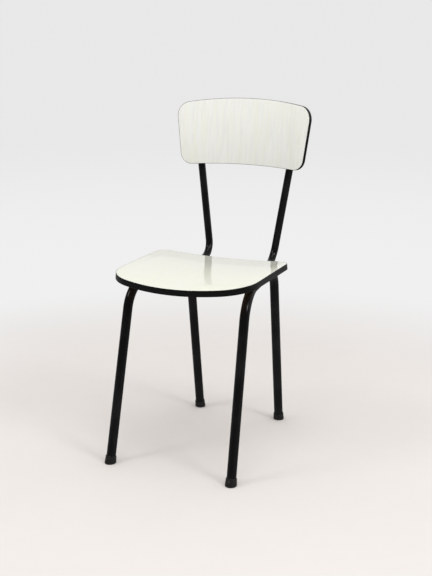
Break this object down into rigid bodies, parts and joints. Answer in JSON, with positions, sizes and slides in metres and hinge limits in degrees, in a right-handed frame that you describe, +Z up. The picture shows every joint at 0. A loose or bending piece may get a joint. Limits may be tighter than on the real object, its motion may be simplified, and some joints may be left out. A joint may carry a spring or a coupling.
{
  "type": "laminate kitchen chair",
  "caption": "Kitchen chair with a dished laminate seat and a curved laminate back on a bent steel tube frame with rubber foot caps.",
  "frame": {"origin": "on the floor, under the middle of the chair's outer box", "axes": "+Z up, -Y the way the sitter faces, +X the sitter's left"},
  "size_m": [0.354, 0.4848, 0.8123],
  "materials": {
    "cream_laminate": "glossy pale cream laminate with a faint wood grain",
    "black_edging": "satin black edge strip",
    "plywood": "bare plywood",
    "black_enamel": "satin black enamel on steel",
    "black_rubber": "dull black rubber, slightly scuffed",
    "zinc_steel": "zinc plated",
    "black_plastic": "moulded black plastic"
  },
  "bodies": {
    "root": {"seat_board": "plywood", "seat_laminate": "cream_laminate", "seat_edge_band": "black_edging", "back_board": "plywood", "back_front_laminate": "cream_laminate", "back_rear_laminate": "cream_laminate", "back_edge_band": "black_edging", "left_side_frame": "black_enamel", "left_upright": "black_enamel", "left_front_foot_cap": "black_rubber", "left_rear_foot_cap": "black_rubber", "left_upright_plug": "black_plastic", "left_upper_back_screw": "zinc_steel", "left_lower_back_screw": "zinc_steel", "left_front_seat_screw": "zinc_steel", "left_rear_seat_screw": "zinc_steel", "right_side_frame": "black_enamel", "right_upright": "black_enamel", "right_front_foot_cap": "black_rubber", "right_rear_foot_cap": "black_rubber", "right_upright_plug": "black_plastic", "right_upper_back_screw": "zinc_steel", "right_lower_back_screw": "zinc_steel", "right_front_seat_screw": "zinc_steel", "right_rear_seat_screw": "zinc_steel", "front_crossbar": "black_enamel", "rear_crossbar": "black_enamel"}
  },
  "joints": []
}
